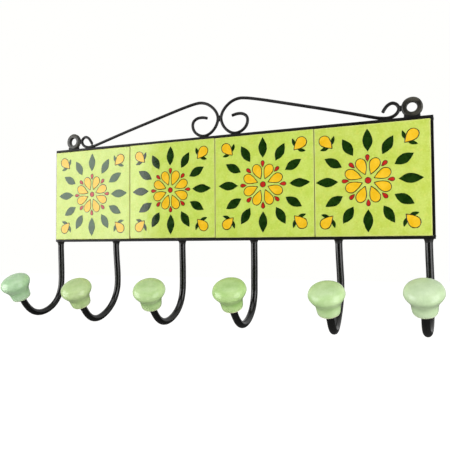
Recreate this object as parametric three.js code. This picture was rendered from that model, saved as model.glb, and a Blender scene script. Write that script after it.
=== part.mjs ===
// Wall-mounted coat rack: a flat-bar iron frame holding four square glazed
// tiles, with a welded wire scroll crest, two hanging eyelets, and six bent
// rod hooks that each end in a glazed ceramic knob.
//
// Millimetres, +Z up. The origin is on the wall plane (the rack's back face)
// at the centre of the framed panel. +Y points into the wall, so the rack
// stands out towards -Y. +X is to the right of someone facing it.

import * as THREE from 'three';
import { ConvexGeometry } from 'three/addons/geometries/ConvexGeometry.js';

// ---------------------------------------------------------------- dimensions

// Tile field
const TILE = 99.7;              // nominal 100 mm (4 in) square tile
const TILE_PITCH = 100.0;
const TILE_COUNT = 4;
const TILE_T = 6.5;
const TILE_FACE_Y = -12.0;      // glazed face
const TILE_CHAMFER = 0.9;       // soft glazed arris
const TILE_LIFT = [0.0, 0.35, 0.1, 0.0];   // hand-set height of each tile above the bottom rail

// Frame of flat bar on edge
const BAR_T = 2.6;              // rail thickness
const STILE_T = 2.0;            // stile thickness
const BAR_W = 9.5;              // bar width, front to back
const INNER_W = 400.2;          // clear width inside the stiles
const INNER_H = 100.4;          // clear height between the rails

// Backing
const BOARD_T = 4.0;
const GLUE_T = 1.5;
const GLUE_SIZE = 84.0;

// Wire scroll crest
const WIRE_R = 1.5;
const WIRE_Y = -4.0;
const CREST_X = 1.9;            // the welded crest sits this far right of the panel's centre
const WIRE_SIDES = 8;
const WIRE_STEPS = 84;

// Hanging eyelets
const EYE_X = 183.05;           // from the crest's own centre
const EYE_Z = 62.3;
const EYE_R = 9.0;
const EYE_HOLE_R = 4.3;
const EYE_T = 4.0;
const EYE_BACK_Y = -2.0;

// Hooks
const ROD_R = 3.0;
const ROD_SIDES = 10;
const ROD_STEPS = 30;
const ROD_GAP = 0.25;           // weld root gap under the bottom rail
// x of each rod, then its hand-bent differences from the norm: how far the heel bows
// to the side, and how far the knob sways sideways, reaches forward and drops, and
// the knob's own lean and side tilt in degrees
const HOOKS = [
  { x: -196.6, bow: 0.0, sway: -1.2, reach: -0.8, drop: -0.3, lean: 29.5, tilt: -1.5 },
  { x: -120.7, bow: 1.3, sway: 0.9, reach: 0.8, drop: 2.9, lean: 32.5, tilt: 4.0 },
  { x: -39.2, bow: -0.2, sway: -0.1, reach: 2.0, drop: 1.2, lean: 32.0, tilt: 9.0 },
  { x: 39.2, bow: -0.5, sway: 1.2, reach: 1.0, drop: -0.8, lean: 31.0, tilt: 2.5 },
  { x: 120.7, bow: 1.0, sway: 2.0, reach: -0.8, drop: 0.2, lean: 28.5, tilt: -0.5 },
  { x: 196.6, bow: 0.6, sway: -2.4, reach: -2.2, drop: -3.4, lean: 30.0, tilt: -1.0 },
];
const WELD_H = 3.4;
const WELD_R_TOP = 4.7;
const WELD_R_LOW = 3.6;
const WELD_BORE_R = 3.3;

// Knobs
const KNOB_BORE_R = 4.5;
const KNOB_BORE_DEPTH = 14.0;
const KNOB_SEGMENTS = 20;
const CEMENT_R_IN = 3.35;
const CEMENT_R_OUT = 4.15;
const CEMENT_DEPTH = 12.0;
const ROD_IN_KNOB = 11.5;

// ----------------------------------------------------------------- materials

const IRON = new THREE.MeshStandardMaterial({ color: 0x17171a, roughness: 0.42, metalness: 0.35 });
const BOARD = new THREE.MeshStandardMaterial({ color: 0x1b1a18, roughness: 0.8, metalness: 0.0 });
const TILE_GLAZE = new THREE.MeshStandardMaterial({ color: 0xc3dc63, roughness: 0.15, metalness: 0.0 });
const GLUE = new THREE.MeshStandardMaterial({ color: 0xd8d2c4, roughness: 0.9, metalness: 0.0 });
const KNOB_GLAZE = new THREE.MeshStandardMaterial({ color: 0xa9cf86, roughness: 0.18, metalness: 0.0 });
const CEMENT = new THREE.MeshStandardMaterial({ color: 0xe6dcc2, roughness: 0.9, metalness: 0.0 });

const rack = new THREE.Group();

function add(name, geometry, material, parent = rack) {
  const mesh = new THREE.Mesh(geometry, material);
  mesh.name = name;
  parent.add(mesh);
  return mesh;
}

// An axis-aligned box from its two corners.
function block(name, lo, hi, material) {
  const g = new THREE.BoxGeometry(hi[0] - lo[0], hi[1] - lo[1], hi[2] - lo[2]);
  const m = add(name, g, material);
  m.position.set((lo[0] + hi[0]) / 2, (lo[1] + hi[1]) / 2, (lo[2] + hi[2]) / 2);
  return m;
}

// --------------------------------------------------------------------- frame

const HALF_W = INNER_W / 2;
const HALF_H = INNER_H / 2;
const OUT_W = HALF_W + STILE_T;
const OUT_H = HALF_H + BAR_T;

block('top_rail', [-OUT_W, -BAR_W, HALF_H], [OUT_W, 0, OUT_H], IRON);
block('bottom_rail', [-OUT_W, -BAR_W, -OUT_H], [OUT_W, 0, -HALF_H], IRON);
block('left_stile', [-OUT_W, -BAR_W, -HALF_H], [-HALF_W, 0, HALF_H], IRON);
block('right_stile', [HALF_W, -BAR_W, -HALF_H], [OUT_W, 0, HALF_H], IRON);
block('back_board', [-HALF_W, -BOARD_T, -HALF_H], [HALF_W, 0, HALF_H], BOARD);

// --------------------------------------------------------------------- tiles

// A tile with its front arrises eased all round.
function tileGeometry() {
  const h = TILE / 2;
  const c = TILE_CHAMFER;
  const back = TILE_FACE_Y + TILE_T;
  const points = [];
  for (const sx of [-1, 1]) {
    for (const sz of [-1, 1]) {
      points.push(new THREE.Vector3(sx * h, back, sz * h));
      points.push(new THREE.Vector3(sx * h, TILE_FACE_Y + c * 0.8, sz * h));
      points.push(new THREE.Vector3(sx * (h - c), TILE_FACE_Y, sz * (h - c)));
    }
  }
  return new ConvexGeometry(points);
}

for (let i = 0; i < TILE_COUNT; i++) {
  const x = (i - (TILE_COUNT - 1) / 2) * TILE_PITCH;
  const z = -HALF_H + TILE / 2 + TILE_LIFT[i];
  const tile = add(`tile_${i + 1}`, tileGeometry(), TILE_GLAZE);
  tile.position.set(x, 0, z);
  const g = GLUE_SIZE / 2;
  block(`tile_adhesive_${i + 1}`, [x - g, -BOARD_T - GLUE_T, -g], [x + g, -BOARD_T, g], GLUE);
}

// --------------------------------------------------------------- round wires

// A round bar swept along a smooth curve through the given points.
function sweptRod(points, radius, sides, steps) {
  const curve = new THREE.CatmullRomCurve3(points, false, 'centripetal');
  curve.arcLengthDivisions = 600;
  const section = new THREE.Shape();
  for (let i = 0; i < sides; i++) {
    const a = (i / sides) * Math.PI * 2;
    const x = Math.cos(a) * radius;
    const y = Math.sin(a) * radius;
    if (i === 0) section.moveTo(x, y);
    else section.lineTo(x, y);
  }
  section.closePath();
  return new THREE.ExtrudeGeometry(section, { steps, extrudePath: curve, bevelEnabled: false, curveSegments: 1 });
}

// Right half of the crest, from the end of the centre curl, over the shoulder,
// down the long sweep and round the small outer curl. [x, z]
const SCROLL = [
  [13.6, 72.6], [19.2, 73.8], [25.0, 73.3], [29.0, 70.7], [30.3, 66.7],
  [28.9, 61.2], [24.8, 56.9], [19.6, 54.8], [14.6, 54.95], [9.7, 57.3],
  [5.5, 61.3], [2.7, 66.4], [1.75, 71.3], [2.8, 76.0], [5.5, 80.5],
  [9.7, 84.6], [15.0, 87.7], [21.5, 89.2], [28.2, 88.7], [42.0, 85.8],
  [56.5, 82.1], [71.0, 78.3], [88.0, 73.8], [105.0, 69.3], [118.5, 65.6], [131.0, 62.1],
  [141.0, 59.3], [149.0, 57.0], [156.5, 55.2], [164.0, 54.8], [169.6, 57.2],
  [172.2, 61.9], [170.4, 66.0], [166.6, 67.6], [162.8, 66.0], [160.1, 62.9],
  [158.4, 59.9],
];

for (const [name, side] of [['scroll_left', -1], ['scroll_right', 1]]) {
  const pts = SCROLL.map(([x, z]) => new THREE.Vector3(CREST_X + side * x, WIRE_Y, z));
  add(name, sweptRod(pts, WIRE_R, WIRE_SIDES, WIRE_STEPS), IRON);
}

// ------------------------------------------------------------------- eyelets

// A closed ring of revolution about the local Y axis.
function ring(profile, segments) {
  const pts = profile.map(([r, h]) => new THREE.Vector2(r, h));
  pts.push(pts[0].clone());
  return new THREE.LatheGeometry(pts, segments);
}

for (const [name, side] of [['eyelet_left', -1], ['eyelet_right', 1]]) {
  const c = 0.8;
  const eye = add(name, ring([
    [EYE_HOLE_R, 0], [EYE_R - c, 0], [EYE_R, c], [EYE_R, EYE_T - c],
    [EYE_R - c, EYE_T], [EYE_HOLE_R + c * 0.5, EYE_T], [EYE_HOLE_R, EYE_T - c * 0.5],
  ], 28), IRON);
  // Lathe axis +Y turned so the ring's axis runs front to back, flat side to the wall.
  eye.rotation.x = Math.PI;
  eye.position.set(CREST_X + side * EYE_X, EYE_BACK_Y, EYE_Z);
}

// --------------------------------------------------------------------- hooks

// Side view of a hook's centre line, [y, z]: straight down from the rail, a
// slight lean back to the wall, the half-round bend, and up into the knob.
const HOOK_SIDE = [
  [-6.9, -OUT_H - ROD_GAP], [-6.9, -59.0], [-6.5, -68.0], [-6.0, -78.0], [-5.7, -88.0],
  [-5.7, -96.0], [-6.3, -103.0], [-8.5, -110.4], [-12.5, -117.2], [-18.4, -122.8],
  [-26.0, -126.9], [-34.2, -129.1], [-41.4, -129.2], [-48.7, -127.2], [-55.2, -123.0],
  [-60.8, -117.2],
];
const KNOB_BASE = [-64.9, -111.2];

// Grows from 0 at the rod's heel to 1 at the knob, so the differences grow along the bend.
function bendShare(y) {
  const t = THREE.MathUtils.clamp((-y - 10) / 50, 0, 1);
  return t * t * (3 - 2 * t);
}

// Peaks at the heel and fades out above and below it.
function heelShare(z) {
  return z > -60 ? 0 : Math.exp(-(((z + 94) / 20) ** 2));
}

// Knob outline, [radius, height]: unglazed foot, waisted neck, crease, and mushroom head.
const KNOB_OUTLINE = [
  [8.7, 0.0], [9.6, 0.8], [9.95, 3.0], [9.9, 6.0], [10.1, 8.6], [11.5, 10.7], [13.2, 13.1],
  [14.4, 15.3], [14.95, 17.5], [14.6, 19.7], [13.1, 22.1], [10.2, 24.1], [6.0, 25.15], [0.0, 25.5],
];

function knobGeometry() {
  const pts = [
    [0, KNOB_BORE_DEPTH], [KNOB_BORE_R, KNOB_BORE_DEPTH - 1.0], [KNOB_BORE_R, 0], ...KNOB_OUTLINE,
  ].map(([r, h]) => new THREE.Vector2(r, h));
  return new THREE.LatheGeometry(pts, KNOB_SEGMENTS);
}

function cementGeometry() {
  return ring([
    [CEMENT_R_IN, 0.3], [CEMENT_R_OUT, 0.3], [CEMENT_R_OUT, CEMENT_DEPTH], [CEMENT_R_IN, CEMENT_DEPTH],
  ], 16);
}

function weldGeometry() {
  return ring([
    [WELD_BORE_R, -WELD_H], [WELD_R_LOW, -WELD_H], [WELD_R_LOW + 0.4, -WELD_H * 0.45],
    [WELD_R_TOP, 0], [WELD_BORE_R, 0],
  ], 14);
}

HOOKS.forEach((hook, index) => {
  const n = index + 1;
  const lean = THREE.MathUtils.degToRad(hook.lean);
  const tilt = THREE.MathUtils.degToRad(hook.tilt);
  const axis = new THREE.Vector3(Math.sin(tilt), -Math.sin(lean) * Math.cos(tilt), Math.cos(lean) * Math.cos(tilt));
  const base = new THREE.Vector3(hook.x + hook.sway, KNOB_BASE[0] - hook.reach, KNOB_BASE[1] - hook.drop);
  const points = HOOK_SIDE.map(([y, z]) => {
    const s = bendShare(y);
    const x = hook.x + hook.sway * s + hook.bow * heelShare(z);
    return new THREE.Vector3(x, y - hook.reach * s, z - hook.drop * s);
  });
  points.push(base.clone().addScaledVector(axis, -0.8));
  points.push(base.clone().addScaledVector(axis, ROD_IN_KNOB * 0.5));
  points.push(base.clone().addScaledVector(axis, ROD_IN_KNOB));
  add(`hook_rod_${n}`, sweptRod(points, ROD_R, ROD_SIDES, ROD_STEPS), IRON);

  const bead = add(`hook_weld_${n}`, weldGeometry(), IRON);
  bead.rotation.x = Math.PI / 2;
  bead.position.set(hook.x, HOOK_SIDE[0][0], -OUT_H - ROD_GAP);

  // Knob and its cement sleeve share one placement on the rod's leaning end.
  const seat = new THREE.Group();
  seat.position.copy(base);
  seat.quaternion.setFromUnitVectors(new THREE.Vector3(0, 1, 0), axis);
  rack.add(seat);
  add(`knob_${n}`, knobGeometry(), KNOB_GLAZE, seat);
  add(`knob_cement_${n}`, cementGeometry(), CEMENT, seat);
});

export default rack;
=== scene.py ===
import bpy
import bmesh
import math
import random
from mathutils import Matrix, Vector, noise
from mathutils.geometry import tessellate_polygon


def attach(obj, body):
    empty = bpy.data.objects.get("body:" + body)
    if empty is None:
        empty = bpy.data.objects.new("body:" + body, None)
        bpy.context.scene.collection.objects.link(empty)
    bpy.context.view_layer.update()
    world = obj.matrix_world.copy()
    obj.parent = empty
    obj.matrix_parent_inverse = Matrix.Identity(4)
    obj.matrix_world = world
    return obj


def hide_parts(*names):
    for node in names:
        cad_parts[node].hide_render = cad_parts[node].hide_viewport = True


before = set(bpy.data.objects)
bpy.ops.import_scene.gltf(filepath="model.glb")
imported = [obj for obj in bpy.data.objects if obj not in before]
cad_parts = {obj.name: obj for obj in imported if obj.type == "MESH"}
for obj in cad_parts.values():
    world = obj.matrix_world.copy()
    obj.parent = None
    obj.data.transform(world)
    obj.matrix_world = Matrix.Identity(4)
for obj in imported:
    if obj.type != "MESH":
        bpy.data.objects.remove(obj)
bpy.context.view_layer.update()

MM = 0.001
scene = bpy.context.scene

# ------------------------------------------------------------------ constants
# Row frame, millimetres: x right, y into the wall, z up. Same numbers as the CAD.

HALF_W, HALF_H = 200.1, 50.2
OUT_W, OUT_H = 202.1, 52.8
BAR_W = 9.5
BOARD_T = 4.0
TILE = 99.7
TILE_FACE_Y = -12.0
TILE_BACK_Y = -5.5
TILE_LIFT = [0.0, 0.35, 0.1, 0.0]
WIRE_R, WIRE_Y, CREST_X = 1.5, -4.0, 1.9
EYE_X, EYE_Z, EYE_R, EYE_HOLE_R = 183.05, 62.3, 9.0, 4.3
EYE_BACK_Y, EYE_T = -2.0, 4.0
ROD_R = 3.25

SCROLL = [
    (13.6, 72.6), (19.2, 73.8), (25.0, 73.3), (29.0, 70.7), (30.3, 66.7),
    (28.9, 61.2), (24.8, 56.9), (19.6, 54.8), (14.6, 54.95), (9.7, 57.3),
    (5.5, 61.3), (2.7, 66.4), (1.75, 71.3), (2.8, 76.0), (5.5, 80.5),
    (9.7, 84.6), (15.0, 87.7), (21.5, 89.2), (28.2, 88.7), (42.0, 85.8),
    (56.5, 82.1), (71.0, 78.3), (88.0, 73.8), (105.0, 69.3), (118.5, 65.6), (131.0, 62.1),
    (141.0, 59.3), (149.0, 57.0), (156.5, 55.2), (164.0, 54.8), (169.6, 57.2),
    (172.2, 61.9), (170.4, 66.0), (166.6, 67.6), (162.8, 66.0), (160.1, 62.9),
    (158.4, 59.9),
]
# The left outer curl is bent a little tighter and closes onto its own strand.
LEFT_TAIL = [(169.4, 57.2), (171.7, 61.6), (169.9, 65.2), (166.3, 66.5), (162.7, 64.9), (159.9, 61.7), (157.7, 58.3)]
# x, bow, sway, reach, drop, lean, tilt
HOOKS = [
    (-196.6, 0.0, -1.2, -0.8, -0.3, 29.5, -1.5),
    (-120.7, 1.3, 0.9, 0.8, 2.9, 32.5, 4.0),
    (-39.2, -0.2, -0.1, 2.0, 1.2, 32.0, 9.0),
    (39.2, -0.5, 1.2, 1.0, -0.8, 31.0, 2.5),
    (120.7, 1.0, 2.0, -0.8, 0.2, 28.5, -0.5),
    (196.6, 0.6, -2.4, -2.2, -3.4, 30.0, -1.0),
]
HOOK_SIDE = [
    (-6.9, -53.05), (-6.9, -59.0), (-6.5, -68.0), (-6.0, -78.0), (-5.7, -88.0),
    (-5.7, -96.0), (-6.3, -103.0), (-8.5, -110.4), (-12.5, -117.2), (-18.4, -122.8),
    (-26.0, -126.9), (-34.2, -129.1), (-41.4, -129.2), (-48.7, -127.2), (-55.2, -123.0),
    (-60.8, -117.2),
]
KNOB_BASE = (-64.9, -111.2)
ROD_IN_KNOB = 11.5

# ------------------------------------------------------------------ the camera

CAM = (206.15, -471.72, -56.24)
YAW, PITCH, ROLL = math.radians(-23.030), math.radians(2.1545), math.radians(-0.2924)
FOCAL_PX = 508.1

fwd = Vector((math.sin(YAW) * math.cos(PITCH), math.cos(YAW) * math.cos(PITCH), math.sin(PITCH)))
right = Vector((math.cos(YAW), -math.sin(YAW), 0.0))
up = right.cross(fwd)
r2 = right * math.cos(ROLL) + up * math.sin(ROLL)
u2 = -right * math.sin(ROLL) + up * math.cos(ROLL)
cam_data = bpy.data.cameras.new("camera")
cam_data.sensor_fit = "HORIZONTAL"
cam_data.sensor_width = 36.0
cam_data.lens = FOCAL_PX / 450.0 * 36.0
cam_data.clip_start, cam_data.clip_end = 0.01, 60.0
cam = bpy.data.objects.new("camera", cam_data)
scene.collection.objects.link(cam)
m = Matrix.Identity(4)
for r in range(3):
    m[r][0], m[r][1], m[r][2] = r2[r], u2[r], -fwd[r]
    m[r][3] = CAM[r] * MM
cam.matrix_world = m
scene.camera = cam

# ------------------------------------------------------------------ materials


def lin(c):
    """sRGB 0-255 to linear RGBA."""
    out = []
    for v in c:
        v /= 255.0
        out.append(v / 12.92 if v <= 0.04045 else ((v + 0.055) / 1.055) ** 2.4)
    return (*out, 1.0)


class Nodes:
    """A short way to write a node tree."""

    def __init__(self, name):
        self.mat = bpy.data.materials.new(name)
        self.mat.use_nodes = True
        self.t = self.mat.node_tree
        self.t.nodes.clear()
        self.out = self.t.nodes.new("ShaderNodeOutputMaterial")
        self.p = self.t.nodes.new("ShaderNodeBsdfPrincipled")
        self.t.links.new(self.p.outputs[0], self.out.inputs[0])
        self.co = self.t.nodes.new("ShaderNodeTexCoord").outputs["Object"]

    def put(self, socket, value):
        if isinstance(value, bpy.types.NodeSocket):
            self.t.links.new(value, socket)
        else:
            socket.default_value = value

    def set(self, **kw):
        for k, v in kw.items():
            self.put(self.p.inputs[k.replace("_", " ")], v)

    def noise(self, scale, detail=2.0, rough=0.5, distort=0.0, co=None):
        n = self.t.nodes.new("ShaderNodeTexNoise")
        n.inputs["Scale"].default_value = scale
        n.inputs["Detail"].default_value = detail
        n.inputs["Roughness"].default_value = rough
        n.inputs["Distortion"].default_value = distort
        self.t.links.new(co or self.co, n.inputs["Vector"])
        return n.outputs["Fac"]

    def cells(self, scale, feature="DISTANCE_TO_EDGE", co=None, rand=1.0):
        n = self.t.nodes.new("ShaderNodeTexVoronoi")
        n.feature = feature
        n.inputs["Scale"].default_value = scale
        n.inputs["Randomness"].default_value = rand
        self.t.links.new(co or self.co, n.inputs["Vector"])
        return n.outputs["Distance"]

    def shift(self, amount, scale, co=None):
        """Coordinates pushed about by noise, so that lines and edges wander."""
        n = self.t.nodes.new("ShaderNodeTexNoise")
        n.inputs["Scale"].default_value = scale
        self.t.links.new(co or self.co, n.inputs["Vector"])
        s = self.t.nodes.new("ShaderNodeVectorMath"); s.operation = "SUBTRACT"
        self.t.links.new(n.outputs["Color"], s.inputs[0])
        s.inputs[1].default_value = (0.5, 0.5, 0.5)
        k = self.t.nodes.new("ShaderNodeVectorMath"); k.operation = "SCALE"
        self.t.links.new(s.outputs[0], k.inputs[0])
        k.inputs["Scale"].default_value = amount
        a = self.t.nodes.new("ShaderNodeVectorMath"); a.operation = "ADD"
        self.t.links.new(co or self.co, a.inputs[0])
        self.t.links.new(k.outputs[0], a.inputs[1])
        return a.outputs[0]

    def math(self, op, a, b=0.0):
        n = self.t.nodes.new("ShaderNodeMath"); n.operation = op
        self.put(n.inputs[0], a)
        if len(n.inputs) > 1:
            self.put(n.inputs[1], b)
        return n.outputs[0]

    def span(self, v, a, b, lo=0.0, hi=1.0, smooth=True):
        n = self.t.nodes.new("ShaderNodeMapRange")
        if smooth:
            n.interpolation_type = "SMOOTHSTEP"
        self.put(n.inputs["Value"], v)
        n.inputs["From Min"].default_value = a
        n.inputs["From Max"].default_value = b
        n.inputs["To Min"].default_value = lo
        n.inputs["To Max"].default_value = hi
        return n.outputs["Result"]

    def xyz(self, co=None):
        n = self.t.nodes.new("ShaderNodeSeparateXYZ")
        self.t.links.new(co or self.co, n.inputs[0])
        return n.outputs

    def ramp(self, fac, stops):
        n = self.t.nodes.new("ShaderNodeValToRGB")
        e = n.color_ramp.elements
        while len(e) < len(stops):
            e.new(0.5)
        for el, (pos, col) in zip(e, stops):
            el.position = pos
            el.color = col
        self.put(n.inputs[0], fac)
        return n.outputs[0]

    def mix(self, fac, a, b):
        n = self.t.nodes.new("ShaderNodeMix"); n.data_type = "RGBA"
        self.put(n.inputs[0], fac)
        self.put(n.inputs[6], a)
        self.put(n.inputs[7], b)
        return n.outputs[2]

    def bump(self, height, strength, distance, normal=None):
        n = self.t.nodes.new("ShaderNodeBump")
        n.inputs["Strength"].default_value = strength
        n.inputs["Distance"].default_value = distance
        self.t.links.new(height, n.inputs["Height"])
        if normal:
            self.t.links.new(normal, n.inputs["Normal"])
        return n.outputs[0]


def iron(name, dark=(9, 9, 8), light=(27, 26, 24), rough=(0.30, 0.42), grain=520.0, lumps=70.0, lift=0.25, shine=0.5):
    """Black stoving paint over forged iron: faint orange peel, dust and dull patches."""
    n = Nodes(name)
    patch = n.noise(lumps, 3.0)
    fine = n.noise(grain, 2.0, 0.6)
    col = n.ramp(n.span(patch, 0.35, 0.7), [(0.0, lin(dark)), (1.0, lin(light))])
    dust = n.span(n.noise(1500.0, 1.0), 0.62, 0.78)
    col = n.mix(n.math("MULTIPLY", dust, 0.18), col, lin((92, 90, 84)))
    n.set(Base_Color=col, Roughness=n.span(patch, 0.3, 0.7, rough[0], rough[1]), IOR=1.52, Specular_IOR_Level=shine)
    b = n.bump(fine, lift, 0.00025)
    n.set(Normal=n.bump(n.noise(lumps * 2.2, 2.0), 0.35, 0.0006, b))
    return n.mat


def glaze(name, low, high, edge=None, gloss=0.06, speck=0.0, scale=85.0, fine=620.0, waves=0.10):
    """Hand-dipped ceramic glaze: blotches, fine mottling, a thin pale edge that is partly thinner glaze and partly
    painted highlight, a darker outermost rim of painted joint shade, and slightly uneven gloss.
    """
    n = Nodes(name)
    blot = n.noise(scale, 3.0, 0.55)
    grain = n.noise(fine, 2.0, 0.6)
    col = n.ramp(n.span(blot, 0.3, 0.7), [(0.0, lin(low)), (1.0, lin(high))])
    pale = tuple(min(255, c + 19) for c in high)
    deep = tuple(max(0, c - 19) for c in low)
    tint = n.noise(230.0, 2.0, 0.6)
    col = n.mix(n.span(tint, 0.52, 0.72, 0.0, 0.5), col, lin((min(255, high[0] + 12), high[1] - 2, high[2] - 6)))
    col = n.mix(n.span(grain, 0.53, 0.8, 0.0, 0.6), col, lin(pale))
    col = n.mix(n.span(grain, 0.46, 0.22, 0.0, 0.6), col, lin(deep))
    if speck:
        dots = n.cells(300.0, "F1", n.shift(0.002, 200.0))
        sparse = n.span(n.noise(150.0, 1.0), 0.6, 0.66)
        col = n.mix(n.math("MULTIPLY", n.math("MULTIPLY", n.span(dots, 0.16, 0.08), sparse), speck), col, lin((122, 132, 60)))
    # Pale band round the tile's rim: partly thinner glaze, partly a painted highlight where the rolled arris catches
    # the light.
    if edge:
        v = n.xyz(n.shift(0.0012, 120.0))
        far = n.math("MAXIMUM", n.math("ABSOLUTE", v[0]), n.math("ABSOLUTE", v[2]))
        col = n.mix(n.span(far, 0.0482, 0.0496, 0.0, 0.55), col, lin(edge))
        # The outermost rim darkened to olive-brown: painted shade of the joint round the tile.
        col = n.mix(n.span(n.math("MAXIMUM", n.math("ABSOLUTE", n.xyz()[0]), n.math("ABSOLUTE", n.xyz()[2])), 0.04945, 0.04975, 0.0, 0.8), col, lin((112, 104, 52)))
    n.set(Base_Color=col, Roughness=n.span(blot, 0.25, 0.75, gloss, gloss + 0.05), IOR=1.5)
    b = n.bump(n.noise(190.0, 1.0), waves, 0.0006)
    n.set(Normal=n.bump(grain, 0.04, 0.0002, b))
    return n.mat


def enamel(name, low, high, gloss=0.07, scale=160.0):
    """Hand-painted enamel: brush-laid colour, thin in places."""
    n = Nodes(name)
    brush = n.noise(scale, 3.0, 0.6, 0.6)
    fine = n.noise(900.0, 2.0)
    col = n.ramp(n.span(brush, 0.28, 0.72), [(0.0, lin(low)), (1.0, lin(high))])
    col = n.mix(n.span(fine, 0.55, 0.8, 0.0, 0.3), col, lin(tuple(min(255, c + 18) for c in high)))
    n.set(Base_Color=col, Roughness=n.span(brush, 0.3, 0.7, gloss, gloss + 0.05), IOR=1.5)
    n.set(Normal=n.bump(n.noise(420.0, 2.0), 0.05, 0.0004))
    return n.mat


def knob_material(k, low, high, pool_and_shade_green, clay):
    """Mint glaze with faint crackle, darker green in the neck partly from pooled glaze and partly as painted shade
    under the head, bare cream clay at the foot.
    """
    n = Nodes(f"knob_mint_glaze_{k}")
    v = n.xyz()
    cloud = n.noise(95.0, 3.0, 0.55)
    fine = n.noise(520.0, 2.0, 0.6)
    col = n.ramp(n.span(cloud, 0.28, 0.72), [(0.0, lin(low)), (1.0, lin(high))])
    col = n.mix(n.span(fine, 0.55, 0.85, 0.0, 0.5), col, lin(tuple(c + 10 for c in high)))
    line = n.cells(210.0, "DISTANCE_TO_EDGE", n.shift(0.003, 160.0))
    col = n.mix(n.span(line, 0.05, 0.0, 0.0, 0.16), col, lin(pool_and_shade_green))
    # Darker green band round the top of the neck: partly glaze pooled in the crease, partly painted shade under the
    # head.
    neck_pool_and_shade = n.math("ABSOLUTE", n.math("SUBTRACT", n.xyz(n.shift(0.003, 120.0))[2], 0.0085))
    col = n.mix(n.span(neck_pool_and_shade, 0.0036, 0.0004, 0.0, 0.34), col, lin(pool_and_shade_green))
    wob = n.xyz(n.shift(0.0016, 260.0))
    foot = n.span(wob[2], 0.0019, 0.0006)
    col = n.mix(n.math("MULTIPLY", foot, 0.85), col, lin(clay))
    gloss = n.span(cloud, 0.25, 0.75, 0.17, 0.24)
    n.set(Base_Color=col, Roughness=n.math("MAXIMUM", gloss, n.math("MULTIPLY", foot, 0.75)), IOR=1.5)
    b = n.bump(n.noise(130.0, 1.0), 0.05, 0.0008)
    n.set(Normal=n.bump(line, 0.02, 0.0002, b))
    return n.mat


def board_material():
    """Hardboard, fibrous brown-black all over, with darker patches."""
    n = Nodes("board_fibre")
    mapping = n.t.nodes.new("ShaderNodeMapping")
    mapping.inputs["Scale"].default_value = (1.0, 1.0, 5.0)
    n.t.links.new(n.co, mapping.inputs["Vector"])
    fibre = n.noise(260.0, 4.0, 0.65, 0.4, mapping.outputs[0])
    patch = n.noise(28.0, 2.0)
    col = n.ramp(n.span(fibre, 0.3, 0.7), [(0.0, lin((30, 25, 20))), (1.0, lin((62, 51, 40)))])
    col = n.mix(n.span(patch, 0.4, 0.7, 0.0, 0.35), col, lin((24, 21, 18)))
    n.set(Base_Color=col, Roughness=n.span(fibre, 0.2, 0.8, 0.65, 0.85))
    n.set(Normal=n.bump(fibre, 0.35, 0.0004))
    return n.mat


def clay_material(name, low, high, scale=420.0):
    """Set cement or tile adhesive: grainy, matt, with pores."""
    n = Nodes(name)
    g = n.noise(scale, 4.0, 0.65)
    pores = n.span(n.cells(900.0, "F1"), 0.10, 0.02)
    col = n.ramp(n.span(g, 0.3, 0.7), [(0.0, lin(low)), (1.0, lin(high))])
    col = n.mix(n.math("MULTIPLY", pores, 0.5), col, lin(tuple(c * 0.7 for c in low)))
    n.set(Base_Color=col, Roughness=n.span(g, 0.2, 0.8, 0.78, 0.92))
    n.set(Normal=n.bump(g, 0.5, 0.0004))
    return n.mat


M_FRAME = iron("frame_black_iron", (5, 5, 4), (14, 13, 11), (0.44, 0.56), shine=0.26)
M_WIRE = iron("scroll_black_wire", (11, 10, 9), (24, 22, 20), (0.34, 0.46), shine=0.36)
M_EYE = iron("eyelet_black_iron", (30, 29, 24), (62, 60, 50), (0.36, 0.50), 420.0, 110.0, 0.4)
M_HOOK = iron("hook_black_rod", (2, 2, 2), (8, 8, 7), (0.17, 0.24), 420.0, 55.0, 0.08, 0.5)
M_WELD = iron("weld_black_bead", (7, 7, 6), (18, 17, 15), (0.40, 0.55), 380.0, 160.0, 0.5, 0.32)
M_BOARD = board_material()
M_GLUE = clay_material("tile_adhesive_grey", (186, 180, 166), (214, 208, 196))
M_CEMENT = clay_material("knob_cement_cream", (205, 192, 158), (228, 218, 188))
M_KNOB = [
    knob_material(1, (176, 216, 166), (194, 226, 184), (146, 194, 134), (216, 222, 190)),
    knob_material(2, (182, 210, 140), (200, 222, 160), (160, 192, 116), (220, 220, 176)),
    knob_material(3, (180, 212, 142), (198, 224, 162), (142, 186, 110), (220, 222, 184)),
    knob_material(4, (172, 208, 128), (192, 222, 150), (130, 180, 88), (236, 218, 194)),
    knob_material(5, (182, 214, 148), (201, 227, 170), (156, 192, 124), (222, 220, 186)),
    knob_material(6, (188, 212, 166), (205, 226, 184), (168, 196, 146), (214, 220, 186)),
]
M_TILE = [
    glaze("tile_glaze_1", (190, 211, 94), (201, 220, 112), (214, 214, 140), speck=0.4),
    glaze("tile_glaze_2", (191, 213, 89), (203, 222, 111), (210, 212, 132), speck=0.4),
    glaze("tile_glaze_3", (189, 211, 84), (201, 220, 106), (206, 211, 124), speck=0.4),
    glaze("tile_glaze_4", (189, 207, 83), (201, 217, 107), (214, 217, 138), speck=0.8),
]
M_LEAF = enamel("enamel_leaf_green", (15, 42, 5), (29, 58, 14))
# A lighter copy of the leaf green for tile 1 only, where the left panel's glare falls: a painted highlight.
M_LEAF_GLARE_LIT = enamel("enamel_leaf_green_glare_lit", (22, 66, 18), (38, 84, 34))
M_YELLOW = enamel("enamel_yellow", (234, 182, 26), (243, 197, 50))
M_RED = enamel("enamel_red", (176, 30, 24), (200, 50, 36))
M_LINE = enamel("enamel_brown_line", (9, 10, 3), (27, 23, 8), scale=300.0)

# --------------------------------------------------------------- mesh helpers


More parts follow.
